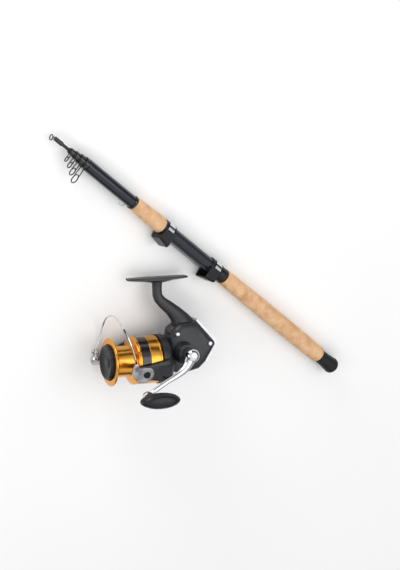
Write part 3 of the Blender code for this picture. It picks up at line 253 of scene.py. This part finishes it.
NEARLY_STRAIGHT = 0.12  # a corner whose sine is under this stays as it is


def rounded(profile, amount, steps=3):
    """The profile with each corner turned into a small arc, so that its edges catch the light."""
    result = []
    count = len(profile)
    for i, here in enumerate(profile):
        if here[1] == 0:
            result.append(here)
            continue
        a, b, c = Vector(profile[i - 1]), Vector(here), Vector(profile[(i + 1) % count])
        before, after = (a - b), (c - b)
        too_short = before.length < 1e-6 or after.length < 1e-6
        if too_short or abs(before.normalized().cross(after.normalized())) < NEARLY_STRAIGHT:
            result.append(here)
            continue
        reach = min(amount, before.length * 0.45, after.length * 0.45)
        p, q = b + before.normalized() * reach, b + after.normalized() * reach
        for s in range(steps + 1):
            t = s / steps
            spot = p * (1 - t) ** 2 + b * 2 * t * (1 - t) + q * t * t
            result.append((spot.x, spot.y))
    return result


def lathe(name, profile, place, slot, body, steps=ROUND, wave=None, scale=INSIDE):
    """A closed profile of (along, radius) turned about a frame's X axis. wave adds to a radius."""
    points, index, faces = [], {}, []

    def point(i, s):
        along, radius = profile[i]
        key = (i, 0 if radius == 0 else s % steps)
        if key not in index:
            angle = 2 * pi * key[1] / steps
            out = radius * scale
            if wave:
                out += wave(along, radius, angle)
            index[key] = len(points)
            points.append((along, out * cos(angle), out * sin(angle)))
        return index[key]

    for i in range(len(profile)):
        j = (i + 1) % len(profile)
        if profile[i][1] == 0 and profile[j][1] == 0:
            continue
        for s in range(steps):
            corners = [point(i, s), point(j, s), point(j, s + 1), point(i, s + 1)]
            faces.append(tuple(c for n, c in enumerate(corners) if c not in corners[:n]))
    return piece(name, points, faces, place, slot, body)


# ---------------------------------------------------------------- camera and stage
YAW, LIFT = 23.0, 7.5  # degrees forward of the reel's side view, and above it


def screen_axes():
    """Right, up and backward of the picture, set from how the reel is seen."""
    f, side, up = REEL.col[0].xyz, REEL.col[1].xyz, REEL.col[2].xyz
    yaw, lift = radians(YAW), radians(LIFT)
    back = f * sin(yaw) * cos(lift) + side * cos(yaw) * cos(lift) + up * sin(lift)
    right = (up.cross(back)).normalized()
    high = back.cross(right).normalized()
    return right, high, back


ROD_SLOPE = radians(139.7)  # direction from the butt to the tip in the picture
ROD_SHARE = 0.637  # the rod's seen length over the picture's height
AIM_BELOW = 0.048  # how far the picture's middle lies below the rod's, over the picture's height
DISTANCE = 2.6
SENSOR = 36.0  # mm


def make_camera():
    """The camera, aimed by the rod. It returns the picture's right, high and back."""
    right, high, back = screen_axes()
    length = along_rod("tip_guide")[1]
    tip = butt + rod_x * length
    span = tip - butt
    seen = Vector((span.dot(right), span.dot(high)))
    roll = Vector((cos(ROD_SLOPE), sin(ROD_SLOPE))).angle_signed(seen)
    turn = Matrix.Rotation(roll, 3, back)
    right, high = turn @ right, turn @ high
    view_height = seen.length / ROD_SHARE
    target = (tip + butt) / 2 - high * AIM_BELOW * view_height
    data = bpy.data.cameras.new("camera")
    data.sensor_width = SENSOR
    data.lens = SENSOR * DISTANCE / view_height
    data.clip_end = 50.0
    camera = bpy.data.objects.new("camera", data)
    bpy.context.collection.objects.link(camera)
    pose = Matrix((right, high, back)).transposed().to_4x4()
    pose.translation = target + back * DISTANCE
    camera.matrix_world = pose
    bpy.context.scene.camera = camera
    return right, high, back


right, high, back = make_camera()
FLOOR_REACH = 40.0  # metres from the middle, past the horizon of a low view


def make_stage():
    """A plain pale floor, a soft sky that is dark below, and three disk lamps."""
    mesh = bpy.data.meshes.new("floor")
    corners = [(-1, -1), (1, -1), (1, 1), (-1, 1)]
    points = [(x * FLOOR_REACH, y * FLOOR_REACH, 0) for x, y in corners]
    mesh.from_pydata(points, [], [(0, 1, 2, 3)])
    floor = bpy.data.objects.new("floor", mesh)
    bpy.context.collection.objects.link(floor)
    pale = plain("floor_looks", (0.90, 0.90, 0.90), 0.7, vary=0.01, scale=60, depth=0.00002)
    mesh.materials.append(pale)
    world = bpy.data.worlds.new("studio")
    bpy.context.scene.world = world
    bpy.context.scene.view_settings.view_transform = "Standard"
    world.use_nodes = True
    tree = world.node_tree
    light = tree.nodes["Background"]
    light.inputs["Strength"].default_value = 1.0
    way = tree.nodes.new("ShaderNodeTexCoord")
    parts = tree.nodes.new("ShaderNodeSeparateXYZ")
    tree.links.new(way.outputs["Generated"], parts.inputs["Vector"])
    stops = [(0.0, (0.03, 0.03, 0.03)), (0.3, (0.06, 0.06, 0.07))]
    stops += [(0.5, (0.75, 0.75, 0.75)), (0.9, (1.1, 1.1, 1.1))]
    tree.links.new(ramp(tree, parts.outputs["Z"], stops), light.inputs["Color"])

    def area(name, direction, size, power, far=1.4):
        data = bpy.data.lights.new(name, "AREA")
        data.shape = "DISK"
        data.size = size
        data.energy = power
        lamp = bpy.data.objects.new(name, data)
        bpy.context.collection.objects.link(lamp)
        away = direction.normalized()
        lamp.location = Vector((0, 0, 0.05)) + away * far
        lamp.rotation_euler = away.to_track_quat("Z", "Y").to_euler()

    area("key_light", high * 1.0 - right * 0.35 + back * 0.9, size=0.7, power=9)
    area("fill_light", right * 1.0 + back * 0.8 + Vector((0, 0, 0.4)), size=1.0, power=4)
    area("front_light", -right * 1.0 + back * 0.7 + Vector((0, 0, 0.5)), size=0.4, power=3)


make_stage()


# ---------------------------------------------------------------- the object, in finer shapes
bodies = frame["record"]["behaviour"]["bodies"]
BODY = {node: body for body, members in bodies.items() for node in members}
GRIP_BORE = 7.7  # mm, round the blank
GRIP_SCALE = 0.9985
PLAIN_FRONT, PLAIN_BACK, CORK_STEP = 4, 7, 2.5  # mm of a grip left as drawn at its ends; ring step


def profile_of(node, place):
    """A turned CAD node's outer outline of (along, radius), in millimetres."""
    turn = place.inverted()
    rings = {}
    for v in frame["nodes"][node].data.vertices:
        here = turn @ v.co / MM
        key = round(here.x, 1)
        rings[key] = max(rings.get(key, 0.0), (here.y**2 + here.z**2) ** 0.5)
    return sorted(rings.items())


def finer_grip(node):
    """A finer copy of a cork grip, with the CAD piece's own outline and a bore."""
    outline = cork_line(profile_of(node, ROD))
    profile = [(outline[0][0], GRIP_BORE)] + outline + [(outline[-1][0], GRIP_BORE)]
    made = lathe(
        node + "_fine", profile, ROD, slot_of[node], BODY[node], 72, cork_wave, GRIP_SCALE
    )
    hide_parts(node)


def cork_line(outline):
    """More rings along a grip, so that the fine waves of turned cork show."""
    low, high = outline[0][0], outline[-1][0]
    low, high = low + PLAIN_FRONT, high - PLAIN_BACK
    head = [p for p in outline if p[0] <= low]
    inner = [p for p in outline if low < p[0] < high]
    tail = [p for p in outline if p[0] >= high]
    middle = []
    for a, b in zip([head[-1]] + inner, inner + [tail[0]]):
        count = max(int((b[0] - a[0]) / CORK_STEP), 1)
        for s in range(1, count):
            middle.append((a[0] + (b[0] - a[0]) * s / count, a[1] + (b[1] - a[1]) * s / count))
        middle.append(b)
    return head + middle[:-1] + tail


def cork_wave(along, radius, angle):
    """Turned cork is never quite round. The bore stays round."""
    return 0.05 * (sin(along * 1.7) * sin(angle * 3 + along * 0.4) - 1) if radius > 8 else 0.0


def finer_rod():
    """The two cork grips, and the lock nut with its knurl."""
    finer_grip("foregrip")
    finer_grip("rear_grip")
    low, high = (end / MM for end in along_rod("lock_nut"))
    outer = max(radius for _, radius in profile_of("lock_nut", ROD))
    bore, ridges, depth = 8.7, 30, 0.28
    profile = [(low, bore), (low, outer - 0.5), (low + 0.5, outer), (low + 4.0, outer)]
    profile += [(low + 4.5, outer - 0.35), (low + 5.2, outer - 0.3), (high - 0.6, outer - 0.3)]
    profile += [(high, outer - 0.6), (high, bore)]

    def knurl(along, radius, angle):
        return -depth * (0.5 + 0.5 * cos(angle * ridges)) if radius > outer - 0.2 else 0.0

    made = lathe("lock_nut_fine", profile, ROD, "black_plastic", "lock_nut", 120, knurl)
    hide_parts("lock_nut")


def finer_spool():
    """The spool with round edges and fine turned grooves in its rear lip and skirt."""
    outer, skirt, arbor, band_seat = 27.95, 27.75, 18.0, 27.1  # radii
    well, inner, hub, bore = 16.2, 26.4, 6.0, 2.9  # radii inside the spool
    band_front, band_back, end = -31.5, -42.5, -57.0  # places along the reel, from the drag knob
    front = [(-4.4, well), (-4.4, 21.0), (-0.3, 21.0), (0.0, 21.6), (0.0, 26.2)]
    front += [(-0.6, 27.5), (-1.6, outer), (-2.6, outer - 0.4), (-4.6, 23.5)]
    front += [(-5.6, arbor + 1.0), (-6.5, arbor)]
    lip = [(-25.1, arbor), (-26.0, arbor + 1.0), (-27.2, skirt - 1.0), (-28.2, skirt)]
    lip += [(-29.2, skirt), (-29.4, skirt - 0.25), (-29.7, skirt - 0.25), (-29.9, skirt)]
    seat = [(band_front, skirt), (band_front, band_seat), (band_back, band_seat)]
    seat += [(band_back, skirt)]
    rim = [(-54.2, skirt), (-54.4, skirt - 0.3), (-54.9, skirt - 0.3), (-55.1, skirt)]
    rim += [(-56.5, skirt), (end, skirt - 0.4), (end, inner)]
    inside = [(-30.0, inner), (-30.0, well), (-14.0, well), (-14.0, hub), (-33.0, hub)]
    inside += [(-33.0, bore), (-12.0, bore), (-12.0, well)]
    profile = rounded(front + lip + seat + rim + inside, 0.5)
    made = lathe("spool_fine", profile, REEL, "gold_anodised", "spool", 96)
    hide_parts("spool")
    gap = 0.3
    low, high = band_back + gap, band_front - gap
    band = [(low, 27.4), (low, 27.7), (high, 27.7), (high, 27.4)]
    made = lathe("spool_band_fine", band, REEL, "gloss_black", "spool", 96)
    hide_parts("spool_band")


def finer_drag_knob():
    """The dished knob with a finger grip of shallow flutes round its rim."""
    r, bore, count, depth = 20.3, 2.9, 24, 0.35
    rim = [(-4.0, bore), (-4.0, r - 0.3), (-3.6, r), (2.6, r), (3.9, r - 0.8)]
    dish = [(4.15, r - 2.0), (3.4, r - 3.4), (1.8, r - 6.5), (1.0, r - 10.5), (1.2, 7.5)]
    centre = [(2.4, 5.6), (2.75, 3.0), (2.75, 0), (-0.6, 0), (-0.6, bore)]

    def flutes(along, radius, angle):
        return -depth * (0.5 + 0.5 * cos(angle * count)) if radius > r - 1.2 else 0.0

    profile = rounded(rim + dish + centre, 0.5)
    made = lathe("drag_knob_fine", profile, REEL, "black_plastic", "drag_knob", 96, flutes)
    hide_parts("drag_knob")


finer_rod()
finer_spool()
finer_drag_knob()
